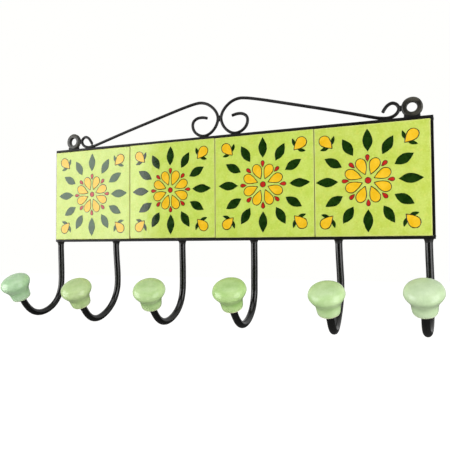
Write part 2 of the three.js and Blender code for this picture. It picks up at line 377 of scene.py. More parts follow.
def mesh_object(name, verts, faces, mats, body="root", at=None, sharp=40.0, face_mats=None, replace=(), recalc=False):
    """A shaded mesh piece that rides on a body. verts are millimetres in the piece's own frame; at is its placement."""
    me = bpy.data.meshes.new(name)
    me.from_pydata([(x * MM, y * MM, z * MM) for x, y, z in verts], [], faces)
    me.validate()
    if recalc:
        bm = bmesh.new()
        bm.from_mesh(me)
        bmesh.ops.recalc_face_normals(bm, faces=bm.faces)
        bm.to_mesh(me)
        bm.free()
    for mt in mats if isinstance(mats, (list, tuple)) else [mats]:
        me.materials.append(mt)
    if face_mats:
        for p, k in zip(me.polygons, face_mats):
            p.material_index = k
    me.shade_smooth()
    me.set_sharp_from_angle(angle=math.radians(sharp))
    me.update()
    o = bpy.data.objects.new(name, me)
    scene.collection.objects.link(o)
    if at is not None:
        o.matrix_world = at
    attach(o, body)
    if replace:
        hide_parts(*replace)
    return o


def catmull(points, per_mm):
    """The CAD's own curve: centripetal Catmull-Rom through the points, sampled evenly by length."""
    pts = [Vector(p) for p in points]
    ext = [pts[0] * 2 - pts[1]] + pts + [pts[-1] * 2 - pts[-2]]
    dense = []
    for i in range(1, len(ext) - 2):
        p0, p1, p2, p3 = ext[i - 1:i + 3]
        d0, d1, d2 = ((p1 - p0).length ** 0.5, (p2 - p1).length ** 0.5, (p3 - p2).length ** 0.5)
        d1 = d1 or 1.0
        d0 = d0 or d1
        d2 = d2 or d1
        t1 = ((p1 - p0) / d0 - (p2 - p0) / (d0 + d1) + (p2 - p1) / d1) * d1
        t2 = ((p2 - p1) / d1 - (p3 - p1) / (d1 + d2) + (p3 - p2) / d2) * d1
        for k in range(24):
            t = k / 24
            dense.append(p1 + t1 * t + (p2 * 3 - p1 * 3 - t1 * 2 - t2) * t * t + (p1 * 2 - p2 * 2 + t1 + t2) * t ** 3)
    dense.append(pts[-1].copy())
    s = [0.0]
    for a, b in zip(dense, dense[1:]):
        s.append(s[-1] + (b - a).length)
    n = max(8, int(s[-1] * per_mm))
    out, j = [], 0
    for k in range(n + 1):
        d = s[-1] * k / n
        while j < len(s) - 2 and s[j + 1] < d:
            j += 1
        t = (d - s[j]) / max(1e-9, s[j + 1] - s[j])
        out.append(dense[j].lerp(dense[j + 1], t))
    return out, s[-1]


def rod(points, radius, sides, per_mm, seed, wobble=0.012, cap=0.35):
    """A round bar along a curve with eased ends and the slight unevenness of a bar bent by hand."""
    path, length = catmull(points, per_mm)
    tang = []
    for i in range(len(path)):
        a, b = path[max(0, i - 1)], path[min(len(path) - 1, i + 1)]
        tang.append((b - a).normalized())
    side = tang[0].cross(Vector((0, 1, 0)))
    if side.length < 0.1:
        side = tang[0].cross(Vector((1, 0, 0)))
    side.normalize()
    rings = []          # (centre, side, other, radius)
    for i, (p, t) in enumerate(zip(path, tang)):
        side = (side - t * side.dot(t)).normalized()
        other = t.cross(side)
        rings.append((p, side.copy(), other, radius))
    # Eased ends: two smaller rings just inside each end.
    first, last = rings[0], rings[-1]
    step = length / (len(path) - 1)
    head = [(first[0], first[1], first[2], radius - cap), (first[0] + tang[0] * cap * 0.35, first[1], first[2], radius - cap * 0.35)]
    tail = [(last[0] - tang[-1] * cap * 0.35, last[1], last[2], radius - cap * 0.35), (last[0], last[1], last[2], radius - cap)]
    body = [r for i, r in enumerate(rings) if i * step > cap * 1.05 and (len(rings) - 1 - i) * step > cap * 1.05]
    near = [(first[0] + tang[0] * cap, first[1], first[2], radius)]
    far = [(last[0] - tang[-1] * cap, last[1], last[2], radius)]
    rings = head + near + body + far + tail
    verts, faces = [], []
    for i, (p, s, o, r) in enumerate(rings):
        for k in range(sides):
            a = 2 * math.pi * k / sides
            q = p * 0.11 + Vector((math.cos(a), math.sin(a), seed)) * 0.6
            rr = r * (1 + wobble * noise.noise(q))
            verts.append(tuple(p + s * (math.cos(a) * rr) + o * (math.sin(a) * rr)))
    for i in range(len(rings) - 1):
        for k in range(sides):
            a, b = i * sides + k, i * sides + (k + 1) % sides
            faces.append((a, b, b + sides, a + sides))
    c0 = len(verts); verts.append(tuple(rings[0][0]))
    c1 = len(verts); verts.append(tuple(rings[-1][0]))
    base = (len(rings) - 1) * sides
    for k in range(sides):
        faces.append((c0, (k + 1) % sides, k))
        faces.append((c1, base + k, base + (k + 1) % sides))
    return verts, faces


def lathe(profile, segments, closed, lumps=0.0, seed=0.0):
    """Turns (radius, height) points about local z. closed joins the last point to the first."""
    verts, faces, idx = [], [], []
    for r, h in profile:
        if r < 1e-6:
            idx.append([len(verts)] * segments)
            verts.append((0.0, 0.0, h))
            continue
        row = []
        for k in range(segments):
            a = 2 * math.pi * k / segments
            rr = r * (1 + lumps * noise.noise(Vector((math.cos(a) * r * 0.12, math.sin(a) * r * 0.12, h * 0.12 + seed))))
            row.append(len(verts))
            verts.append((math.cos(a) * rr, math.sin(a) * rr, h))
        idx.append(row)
    n = len(profile)
    for i in range(n if closed else n - 1):
        a, b = idx[i], idx[(i + 1) % n]
        for k in range(segments):
            q = (k + 1) % segments
            f = [a[k], a[q], b[q], b[k]]
            f = [v for j, v in enumerate(f) if v not in f[:j]]
            if len(f) > 2:
                faces.append(tuple(f))
    return verts, faces


def smooth_profile(points, n):
    """An even, smooth run through (radius, height) points."""
    path, _ = catmull([(r, 0.0, h) for r, h in points], 1.0)
    path, length = catmull([(r, 0.0, h) for r, h in points], n / max(1.0, sum(
        (a - b).length for a, b in zip(path, path[1:]))))
    return [(max(0.0, p.x), p.z) for p in path]


def bar(lo, hi, r, seed, push=0.10, step=3.0):
    """A flat bar with rolled edges along its longest side, and faces slightly uneven from the hammer."""
    size = [b - a for a, b in zip(lo, hi)]
    ax = size.index(max(size))
    u, v = [i for i in range(3) if i != ax]
    # rounded rectangle section, in (u, v) from the middle
    sec = []
    hu, hv = size[u] / 2, size[v] / 2
    r = min(r, hu * 0.45, hv * 0.45)
    for cu, cv, a0 in ((hu - r, hv - r, 0), (-hu + r, hv - r, 90), (-hu + r, -hv + r, 180), (hu - r, -hv + r, 270)):
        for k in range(5):
            a = math.radians(a0 + 90 * k / 4)
            sec.append((cu + r * math.cos(a), cv + r * math.sin(a)))
    # extra points on the long faces so that they can dent
    full = []
    for i, p in enumerate(sec):
        full.append(p)
        q = sec[(i + 1) % len(sec)]
        d = math.hypot(q[0] - p[0], q[1] - p[1])
        for k in range(1, max(1, int(d / 1.6)) + 0):
            t = k / max(1, int(d / 1.6))
            full.append((p[0] + (q[0] - p[0]) * t, p[1] + (q[1] - p[1]) * t))
    sec = full
    mu, mv = (lo[u] + hi[u]) / 2, (lo[v] + hi[v]) / 2
    n = max(6, int(size[ax] / step))
    stations = [(lo[ax], r * 0.9), (lo[ax] + r * 0.3, r * 0.3)]
    stations += [(lo[ax] + r + (size[ax] - 2 * r) * k / n, 0.0) for k in range(n + 1)]
    stations += [(hi[ax] - r * 0.3, r * 0.3), (hi[ax], r * 0.9)]
    verts, faces = [], []
    for s, inset in stations:
        for pu, pv in sec:
            fu = (hu - inset) / hu
            fv = (hv - inset) / hv
            w = abs(noise.noise(Vector((s * 0.045, pu * 0.25 + seed, pv * 0.25)))) * push
            w += abs(noise.noise(Vector((s * 0.2 + 7, pu * 0.5, pv * 0.5 + seed)))) * push * 0.5
            ku = 1 - w / hu
            kv = 1 - w / hv
            p = [0.0, 0.0, 0.0]
            p[ax], p[u], p[v] = s, mu + pu * fu * ku, mv + pv * fv * kv
            verts.append(tuple(p))
    m_ = len(sec)
    flip = (u, v, ax) in ((0, 2, 1),)
    for i in range(len(stations) - 1):
        for k in range(m_):
            a, b = i * m_ + k, i * m_ + (k + 1) % m_
            f = (a, b, b + m_, a + m_)
            faces.append(f[::-1] if flip else f)
    end0 = tuple(range(m_))
    end1 = tuple(range((len(stations) - 1) * m_, len(stations) * m_))
    faces.append(end0 if flip else end0[::-1])
    faces.append(end1[::-1] if flip else end1)
    return verts, faces


def bead(centre, size, seed, rough=0.22, rings=10, segs=14):
    """A lump of weld: an uneven flattened ball."""
    verts, faces = [], []
    cx, cy, cz = centre
    for i in range(rings + 1):
        ph = math.pi * i / rings
        if i in (0, rings):
            k = 1 + rough * noise.noise(Vector((seed, i, 0.3)))
            verts.append((cx, cy, cz + math.cos(ph) * size[2] * k))
            continue
        for j in range(segs):
            th = 2 * math.pi * j / segs
            d = Vector((math.sin(ph) * math.cos(th), math.sin(ph) * math.sin(th), math.cos(ph)))
            k = 1 + rough * noise.noise(d * 1.6 + Vector((seed, seed * 0.7, 0))) + rough * 0.5 * noise.noise(d * 4 + Vector((0, seed, 3)))
            verts.append((cx + d.x * size[0] * k, cy + d.y * size[1] * k, cz + d.z * size[2] * k))
    def at(i, j):
        if i == 0:
            return 0
        if i == rings:
            return len(verts) - 1
        return 1 + (i - 1) * segs + j % segs
    for i in range(rings):
        for j in range(segs):
            f = [at(i, j), at(i + 1, j), at(i + 1, j + 1), at(i, j + 1)]
            f = [v for k, v in enumerate(f) if v not in f[:k]]
            faces.append(tuple(f))
    return verts, faces


def joined(parts):
    verts, faces = [], []
    for v, f in parts:
        n = len(verts)
        verts += v
        faces += [tuple(i + n for i in g) for g in f]
    return verts, faces


# ----------------------------------------------------------------- the frame

v, f = bar((-OUT_W, -BAR_W, HALF_H), (OUT_W, 0.0, OUT_H), 0.38, 1.0)
mesh_object("frame_top_rail", v, f, M_FRAME, replace=["top_rail"])
v, f = bar((-OUT_W, -BAR_W, -OUT_H), (OUT_W, 0.0, -HALF_H), 0.38, 2.0)
mesh_object("frame_bottom_rail", v, f, M_FRAME, replace=["bottom_rail"])
v, f = bar((-OUT_W, -BAR_W, -HALF_H), (-HALF_W, 0.0, HALF_H), 0.35, 3.0)
mesh_object("frame_left_stile", v, f, M_FRAME, replace=["left_stile"])
v, f = bar((HALF_W, -BAR_W, -HALF_H), (OUT_W, 0.0, HALF_H), 0.35, 4.0)
mesh_object("frame_right_stile", v, f, M_FRAME, replace=["right_stile"])

# Short runs of weld where the rails meet the stiles, on the outside of each corner.
seams = []
for i, sx in enumerate((-1, 1)):
    for j, sz in enumerate((-1, 1)):
        for k in range(3):
            seams.append(bead((sx * (OUT_W - 0.35), -2.0 - k * 2.7, sz * (HALF_H + 0.1)), (0.62, 1.7, 0.8), 3.1 * i + 5.7 * j + k * 1.3))
v, f = joined(seams)
mesh_object("corner_welds", v, f, M_WELD)

# The board behind the tiles, with eased edges and a very slight bow in its back.
bv, bf = [], []
NX, NZ = 60, 16
xs = [-HALF_W + 0.05 + (2 * HALF_W - 0.1) * i / NX for i in range(NX + 1)]
zs = [-HALF_H + 0.05 + (2 * HALF_H - 0.1) * i / NZ for i in range(NZ + 1)]
for face, y in ((0, -BOARD_T + 0.05), (1, -0.35)):
    for z in zs:
        for x in xs:
            ex = min(HALF_W - abs(x), HALF_H - abs(z))
            ease = 0.35 * max(0.0, 1 - ex / 1.2) ** 2
            wave = 0.12 * noise.noise(Vector((x * 0.02, z * 0.03, face * 9.0)))
            bv.append((x, y + (ease if face == 0 else -ease + min(0.0, -abs(wave))), z))
W = NX + 1
H = NZ + 1
for face in (0, 1):
    o_ = face * W * H
    for j in range(NZ):
        for i in range(NX):
            a = o_ + j * W + i
            q = (a, a + 1, a + 1 + W, a + W)
            bf.append(q if face == 0 else q[::-1])
edge = [j for j in range(W)] + [k * W + NX for k in range(1, H)] + [NZ * W + NX - k for k in range(1, W)] + [(NZ - k) * W for k in range(1, NZ)]
for a, b in zip(edge, edge[1:] + edge[:1]):
    bf.append((a, a + W * H, b + W * H, b))
mesh_object("hardboard_back", bv, bf, M_BOARD, replace=["back_board"])

# ----------------------------------------------------------------- the tiles

random.seed(41)
TILE_X = [(i - 1.5) * 100.0 for i in range(4)]
TILE_Z = [-0.35 + lift for lift in TILE_LIFT]
HALF_T = TILE / 2
ROUND = 0.9


def tile_face(u, w, seed):
    """How far the glazed face stands back from its highest plane, at (u, w) from the tile's middle."""
    d = HALF_T - max(abs(u), abs(w))
    au, aw = abs(u) - (HALF_T - ROUND), abs(w) - (HALF_T - ROUND)
    if au > 0 and aw > 0:
        d = ROUND - max(au, aw)
    d = max(0.0, d)
    back = 0.0
    if d < 0.7:
        back += 0.7 - math.sqrt(max(0.0, 0.7 ** 2 - (0.7 - d) ** 2))
    back += 0.08 * (1 - min(1.0, d / 9.0)) ** 2
    back += 0.02 * (1 + noise.noise(Vector((u * 0.04, w * 0.04, seed))))
    return back


def tile_mesh(seed):
    """A pressed tile: rolled front arris, rounded corners, flat sides and back."""
    inner = [HALF_T - d for d in (0.0, 0.08, 0.2, 0.36, 0.52, 0.7, 0.95, 1.8, 3.5, 7.0)]
    mids = [-42.0 + 6.0 * k for k in range(15)]
    line = sorted(set([-a for a in inner] + mids + inner))
    n = len(line)

    def place(u, w):
        au, aw = abs(u) - (HALF_T - ROUND), abs(w) - (HALF_T - ROUND)
        x, z = u, w
        if au > 0 and aw > 0:
            k = max(au, aw) / math.hypot(au, aw)
            x = math.copysign(HALF_T - ROUND + au * k, u)
            z = math.copysign(HALF_T - ROUND + aw * k, w)
        near = 1 - min(1.0, (HALF_T - max(abs(u), abs(w))) / 2.0)
        pull = 0.05 * near * (1 + noise.noise(Vector((u * 0.06, w * 0.06, seed + 5))))
        s = 1 - pull / HALF_T
        return x * s, z * s

    verts, faces = [], []
    for w in line:
        for u in line:
            x, z = place(u, w)
            verts.append((x, tile_face(u, w, seed), z))
    for j in range(n - 1):
        for i in range(n - 1):
            a = j * n + i
            faces.append((a, a + 1, a + 1 + n, a + n))
    rim = [i for i in range(n)] + [k * n + n - 1 for k in range(1, n)] + [(n - 1) * n + n - 1 - k for k in range(1, n)] + [(n - 1 - k) * n for k in range(1, n - 1)]
    depth = TILE_BACK_Y - TILE_FACE_Y
    rows = [rim]
    for y in (depth * 0.45, depth - 0.5, depth):
        tuck = 0.35 if y == depth else 0.0
        row = []
        for r_ in rim:
            x, _, z = verts[r_]
            row.append(len(verts))
            s = 1 - tuck / HALF_T
            verts.append((x * s, y, z * s))
        rows.append(row)
    for a, b in zip(rows, rows[1:]):
        for k in range(len(rim)):
            q = (k + 1) % len(rim)
            faces.append((a[k], b[k], b[q], a[q]))
    faces.append(tuple(reversed(rows[-1])))
    return verts, faces


for i in range(4):
    v, f = tile_mesh(3.0 * i + 1)
    at = Matrix.Translation((TILE_X[i] * MM, TILE_FACE_Y * MM, TILE_Z[i] * MM))
    mesh_object(f"glazed_tile_{i + 1}", v, f, M_TILE[i], at=at, sharp=50, replace=[f"tile_{i + 1}"])

M_RUN = enamel("glaze_run_brown", (92, 40, 22), (128, 60, 34), 0.2, 500.0)
v, f = joined([bead((0.0, 0.0, 0.0), (0.75, 0.35, 0.95), 2.3), bead((0.25, 0.0, 1.1), (0.45, 0.28, 0.6), 5.1)])
mesh_object("glaze_run", v, f, M_RUN, at=Matrix.Translation((-99.6 * MM, -11.75 * MM, -48.9 * MM)), sharp=60)

# ------------------------------------------------------- the painted ornament
# A plain rosette: one dot, eight petals, eight drops, a ring of twelve pointed
# leaves, and a petal with two small leaves in each corner, all laid out by
# rotation. Everything is a thin raised enamel inlay.


def loop(points, per_mm=1.6, tips=()):
    """A smooth closed outline through the points. Indices in tips stay sharp."""
    n = len(points)
    if not tips:
        pts = list(points) + [points[0], points[1], points[2]]
        start = 1
        path, _ = catmull([(x, 0.0, z) for x, z in [points[-1]] + pts], 6.0)
        # keep one whole turn: from the first pass over points[0] to the second
        a = min(range(len(path) // 3), key=lambda k: (path[k].x - points[0][0]) ** 2 + (path[k].z - points[0][1]) ** 2)
        b = min(range(len(path) // 2, len(path)), key=lambda k: (path[k].x - points[0][0]) ** 2 + (path[k].z - points[0][1]) ** 2)
        ring = [(p.x, p.z) for p in path[a:b]]
    else:
        ring = []
        order = sorted(tips)
        for s, e in zip(order, order[1:] + [order[0] + n]):
            run = [points[k % n] for k in range(s, e + 1)]
            if len(run) == 2:
                ring.append(run[0])
                continue
            path, _ = catmull([(x, 0.0, z) for x, z in run], 6.0)
            ring += [(p.x, p.z) for p in path[:-1]]
    # even out
    s = [0.0]
    m_ = len(ring)
    for k in range(m_):
        a, b = ring[k], ring[(k + 1) % m_]
        s.append(s[-1] + math.hypot(b[0] - a[0], b[1] - a[1]))
    count = max(14, int(s[-1] * per_mm))
    out, j = [], 0
    for k in range(count):
        d = s[-1] * k / count
        while s[j + 1] < d:
            j += 1
        t = (d - s[j]) / max(1e-9, s[j + 1] - s[j])
        a, b = ring[j % m_], ring[(j + 1) % m_]
        out.append((a[0] + (b[0] - a[0]) * t, a[1] + (b[1] - a[1]) * t))
    return out


def area2(p):
    return sum(p[k][0] * p[(k + 1) % len(p)][1] - p[(k + 1) % len(p)][0] * p[k][1] for k in range(len(p)))


def inset(p, d):
    """The loop moved inwards by d."""
    if area2(p) < 0:
        p = p[::-1]
    n = len(p)
    out = []
    for k in range(n):
        a, b, c = p[k - 1], p[k], p[(k + 1) % n]
        t1 = Vector((b[0] - a[0], b[1] - a[1])).normalized()
        t2 = Vector((c[0] - b[0], c[1] - b[1])).normalized()
        t = (t1 + t2)
        if t.length < 1e-4:
            t = t1
        t.normalize()
        out.append((b[0] - t.y * d, b[1] + t.x * d))
    return out


class Motif:
    """Collects one tile's enamel. Heights are millimetres proud of the glaze."""

    def __init__(self, seed, centre):
        self.v, self.f, self.m = [], [], []
        self.seed = seed
        self.c = centre
        self.rng = random.Random(100 + seed)

    def back(self, x, z):
        return tile_face(x, z, 3.0 * (self.seed - 1) + 1)

    def wander(self, p, amount=0.16):
        out = []
        for x, z in p:
            q = Vector((x * 0.22, z * 0.22, self.seed * 3.7))
            out.append((x + amount * noise.noise(q), z + amount * noise.noise(q + Vector((9, 4, 2)))))
        return out

    def patch(self, outline, mat, high=0.14, rim=0.05, edge=0.22, sink=0.35):
        p = outline if area2(outline) > 0 else outline[::-1]
        rows = [(p, -sink), (p, rim), (inset(p, edge * 0.45), high * 0.8), (inset(p, edge), high)]
        idx = []
        for ring, h in rows:
            row = []
            for x, z in ring:
                row.append(len(self.v))
                self.v.append((x, self.back(x, z) - h, z))
            idx.append(row)
        n = len(p)
        for a, b in zip(idx, idx[1:]):
            for k in range(n):
                q = (k + 1) % n
                self.f.append((a[k], a[q], b[q], b[k]))
                self.m.append(mat)
        for row, ring, flip in ((idx[-1], rows[-1][0], False), (idx[0], rows[0][0], True)):
            tri = tessellate_polygon([[Vector((x, z, 0)) for x, z in ring]])
            for t in tri:
                a, b, c = ring[t[0]], ring[t[1]], ring[t[2]]
                turn = (b[0] - a[0]) * (c[1] - a[1]) - (c[0] - a[0]) * (b[1] - a[1])
                g = (row[t[0]], row[t[1]], row[t[2]])
                if (turn < 0) != flip:
                    g = g[::-1]
                self.f.append(g)
                self.m.append(mat)

    def stroke(self, path, mat, width=0.5, high=0.20, closed=True, taper=False):
        n = len(path)
        idx = []
        for k in range(n):
            a = path[(k - 1) % n] if closed or k > 0 else path[k]
            b = path[(k + 1) % n] if closed or k < n - 1 else path[k]
            t = Vector((b[0] - a[0], b[1] - a[1]))
            t.normalize()
            nx, nz = -t.y, t.x
            x, z = path[k]
            w = width * (1 + 0.35 * noise.noise(Vector((x * 0.35, z * 0.35, self.seed * 2.1 + 11))))
            if taper:
                w *= 0.35 + 0.65 * math.sin(math.pi * min(1.0, (k + 0.5) / n * 1.0)) ** 0.5
            row = []
            for off, h in ((-0.5, -0.3), (-0.5, high * 0.45), (-0.22, high), (0.22, high), (0.5, high * 0.45), (0.5, -0.3)):
                px, pz = x + nx * w * off, z + nz * w * off
                row.append(len(self.v))
                self.v.append((px, self.back(px, pz) - h, pz))
            idx.append(row)
        for k in range(n if closed else n - 1):
            a, b = idx[k], idx[(k + 1) % n]
            for j in range(6):
                q = (j + 1) % 6
                self.f.append((a[j], b[j], b[q], a[q]))
                self.m.append(mat)
        if not closed:
            self.f.append(tuple(idx[0]))
            self.f.append(tuple(reversed(idx[-1])))
            self.m += [mat, mat]

    def placed(self, pts, angle=0.0, mirror=False, at=(0.0, 0.0), slack=0.35, spin=1.6, size=0.025):
        """Points turned, mirrored and nudged by hand."""
        r = self.rng
        cx = sum(p[0] for p in pts) / len(pts)
        cz = sum(p[1] for p in pts) / len(pts)
        ds = 1 + r.uniform(-size, size)
        da = math.radians(r.uniform(-spin, spin))
        ox, oz = r.uniform(-slack, slack), r.uniform(-slack, slack)
        return self.fixed(pts, angle, mirror, at, (cx, cz, ds, da, ox, oz))

    def fixed(self, pts, angle, mirror, at, hand):
        cx, cz, ds, da, ox, oz = hand
        ca, sa = math.cos(angle), math.sin(angle)
        cb, sb = math.cos(da), math.sin(da)
        out = []
        for x, z in pts:
            dx, dz = (x - cx) * ds, (z - cz) * ds
            x, z = cx + dx * cb - dz * sb, cz + dx * sb + dz * cb
            if mirror:
                x = -x
            x, z = x * ca - z * sa, x * sa + z * ca
            out.append((x + at[0] + ox + self.c[0], z + at[1] + oz + self.c[1]))
        return out

    def hand(self, pts, slack=0.35, spin=1.6, size=0.025):
        r = self.rng
        cx = sum(p[0] for p in pts) / len(pts)
        cz = sum(p[1] for p in pts) / len(pts)
        return (cx, cz, 1 + r.uniform(-size, size), math.radians(r.uniform(-spin, spin)), r.uniform(-slack, slack), r.uniform(-slack, slack))


LEAF, YELLOW, RED, LINE = range(4)
MOTIF_MATS = [M_LEAF, M_YELLOW, M_RED, M_LINE]


def almond(r0, r1, half):
    """A plain pointed leaf along +x. Its tips are points 0 and 4."""
    n = r1 - r0
    up = [(r0 + 0.28 * n, 0.80 * half), (r0 + 0.52 * n, half), (r0 + 0.78 * n, 0.62 * half)]
    return [(r0, 0.0)] + up + [(r1, 0.0)] + [(x, -z) for x, z in reversed(up)]


def petal(r0, r1, half):
    """A plain round-ended petal along +x, pointed at its inner end."""
    n = r1 - r0
    up = [(r0 + 0.35 * n, 0.70 * half), (r0 + 0.70 * n, half), (r0 + 0.93 * n, 0.60 * half)]
    return [(r0, 0.0)] + up + [(r1, 0.0)] + [(x, -z) for x, z in reversed(up)]


def swung(points, degrees, at):
    """Points turned about their own start and moved to at on the +x line."""
    c, s = math.cos(math.radians(degrees)), math.sin(math.radians(degrees))
    return [(at + x * c - z * s, x * s + z * c) for x, z in points]


def outlined(g, shape, mat, width):
    g.patch(shape, mat, 0.15, 0.05, 0.25)
    g.stroke(shape if area2(shape) > 0 else shape[::-1], LINE, width, 0.21)


def ornament(i, centre):
    g = Motif(i, centre)
    dot = [(2.6 * math.cos(a), 2.6 * math.sin(a)) for a in [2 * math.pi * k / 18 for k in range(18)]]
    outlined(g, g.wander(g.placed(dot, slack=0.25)), RED, 0.62)
    # eight petals with a small drop between each two
    for k in range(8):
        a = math.radians(22.5 + 45 * k)
        outlined(g, g.wander(g.placed(loop(petal(5.6, 20.8, 4.5), 1.7, (0,)), a, slack=0.2)), YELLOW, 0.80)
        outlined(g, g.wander(g.placed(loop(petal(16.6, 22.8, 1.7), 1.6, (0,)), math.radians(45 * k), slack=0.2)), RED, 0.58)
    # a ring of twelve plain leaves
    for k in range(12):
        leaf = almond(25.6, 46.0 if k % 3 == 0 else 44.0, 4.3)
        g.patch(g.wander(g.placed(loop(leaf, 1.6, (0, 4)), math.radians(30 * k)), 0.25), LEAF)
    # a single petal between two small leaves in each corner
    for k in range(4):
        a = math.radians(45 + 90 * k)
        outlined(g, g.wander(g.placed(loop(petal(43.6, 58.4, 4.9), 1.7, (0,)), a, slack=0.3)), YELLOW, 0.84)
        for side in (62, -62):
            small = swung(almond(1.2, 10.2, 1.7), side, 45.6)
            g.patch(g.wander(g.placed(loop(small, 1.7, (0, 4)), a, slack=0.2)), LEAF)
    return g


CENTRES = [(0.4, -0.2), (-0.4, -0.2), (0.2, 0.8), (-2.2, -0.3)]
for i in range(4):
    g = ornament(i + 1, CENTRES[i])
    at = Matrix.Translation((TILE_X[i] * MM, TILE_FACE_Y * MM, TILE_Z[i] * MM))
    # Tile 1's leaves take the lighter leaf green, a painted highlight of its glare.
    mesh_object(f"tile_enamel_{i + 1}", g.v, g.f, ([M_LEAF_GLARE_LIT] if i == 0 else [M_LEAF]) + MOTIF_MATS[1:], at=at, sharp=8, face_mats=g.m, recalc=True)

# --------------------------------------------------- crest wires and eyelets

for name, side in (("left", -1), ("right", 1)):
    path = SCROLL if side > 0 else SCROLL[:-7] + LEFT_TAIL
    pts = [(CREST_X + side * x, WIRE_Y, z) for x, z in path]
    v, f = rod(pts, WIRE_R, 20, 1.5, 5.0 + side, 0.03, 0.3)
    mesh_object(f"crest_wire_{name}", v, f, M_WIRE, sharp=60, replace=[f"scroll_{name}"])

    # Heavy ring: thick washer section with well-rounded arrises.
    prof = []
    ro, ri = 1.7, 0.8
    for cr, ch, rr, a0 in ((EYE_R - ro, EYE_T - ro, ro, 0), (EYE_HOLE_R + ri, EYE_T - ri, ri, 90), (EYE_HOLE_R + ri, ri, ri, 180), (EYE_R - ro, ro, ro, 270)):
        for k in range(7):
            a = math.radians(a0 + 90 * k / 6)
            prof.append((cr + rr * math.cos(a), ch + rr * math.sin(a)))
    v, f = lathe(prof, 56, True, 0.02, 3.0 + side)
    at = Matrix.Translation(((CREST_X + side * EYE_X) * MM, EYE_BACK_Y * MM, EYE_Z * MM)) @ Matrix.Rotation(math.pi / 2, 4, "X")
    mesh_object(f"hanging_ring_{name}", v, f, M_EYE, at=at, sharp=60, replace=[f"eyelet_{name}"])

    # Weld between ring and rail, spreading at the foot; and the tacks along the wire.
    ex = CREST_X + side * EYE_X
    foot = []
    outline = loop([(-7.4, -9.7), (-6.9, -8.2), (-6.9, -6.2), (-3.6, -7.2), (0.0, -7.9), (3.6, -7.2), (6.9, -6.2), (6.9, -8.2), (7.4, -9.7)], 1.5, (0, 2, 6, 8))
    ring_pts = outline if area2(outline) > 0 else outline[::-1]
    fv, ff = [], []
    rows = [(-5.5, 0.5), (-5.2, 0.15), (-4.0, 0.0), (-3.0, 0.15), (-2.6, 0.5)]
    for y, d in rows:
        ring_ = inset(ring_pts, d) if d else ring_pts
        for x, z in ring_:
            w = 0.18 * noise.noise(Vector((x * 0.5, y, z * 0.5 + side)))
            fv.append((ex + x + w, y, EYE_Z + z + w * 0.3))
    n_ = len(ring_pts)
    for a in range(len(rows) - 1):
        for k in range(n_):
            q_ = (k + 1) % n_
            ff.append((a * n_ + k, (a + 1) * n_ + k, (a + 1) * n_ + q_, a * n_ + q_))
    for row, flip in ((0, False), (len(rows) - 1, True)):
        tri = tessellate_polygon([[Vector((x, z, 0)) for x, z in ring_pts]])
        for t in tri:
            a, b, c = (ring_pts[j] for j in t)
            turn = (b[0] - a[0]) * (c[1] - a[1]) - (c[0] - a[0]) * (b[1] - a[1])
            g_ = tuple(row * n_ + j for j in t)
            if (turn < 0) != flip:
                g_ = g_[::-1]
            ff.append(g_)
    mesh_object(f"ring_weld_{name}", fv, ff, M_WELD, sharp=50, recalc=True)

    tacks = [
        bead((CREST_X + side * 17.2, WIRE_Y, 53.35), (5.2, 1.5, 0.95), 1.0 + side),
        bead((CREST_X + side * 160.6, WIRE_Y, 53.3), (6.4, 1.5, 0.9), 2.0 + side),
        bead((CREST_X + side * 173.6, WIRE_Y, 62.0), (1.3, 1.3, 2.6), 4.0 + side),
    ]
    if side < 0:
        tacks.append(bead((CREST_X - 157.5, WIRE_Y, 56.75), (1.1, 1.1, 0.9), 7.0))
    v, f = joined(tacks)
    mesh_object(f"wire_tacks_{name}", v, f, M_WELD, sharp=60)

v, f = bead((CREST_X, WIRE_Y, 71.2), (1.0, 1.25, 3.2), 8.5)
mesh_object("crest_centre_tack", v, f, M_WELD, sharp=60)

# ----------------------------------------------------------------- the hooks


def bend_share(y):
    t = min(1.0, max(0.0, (-y - 10.0) / 50.0))
    return t * t * (3 - 2 * t)


def heel_share(z):
    return 0.0 if z > -60 else math.exp(-(((z + 94) / 20) ** 2))


# Knob outline from the foot up, in two smooth runs that meet at the crease.
LOWER = smooth_profile([(8.0, 0.0), (8.6, 0.28), (9.05, 1.0), (9.35, 2.4), (9.6, 4.4), (9.78, 6.2), (9.98, 7.8), (10.3, 9.0), (10.8, 10.1)], 26)
UPPER = smooth_profile([(10.8, 10.1), (11.45, 11.2), (12.4, 12.7), (13.45, 14.3), (14.3, 15.9), (14.7, 17.4), (14.4, 19.5),
                        (13.2, 21.8), (10.4, 23.85), (6.4, 25.05), (2.8, 25.42), (0.0, 25.5)], 44)
KNOB_PROFILE = [(0.0, 14.0), (3.6, 13.6), (4.5, 12.8), (4.5, 8.0), (4.5, 2.0), (4.62, 0.35), (5.1, 0.0), (6.8, -0.02)] + LOWER + UPPER[1:]

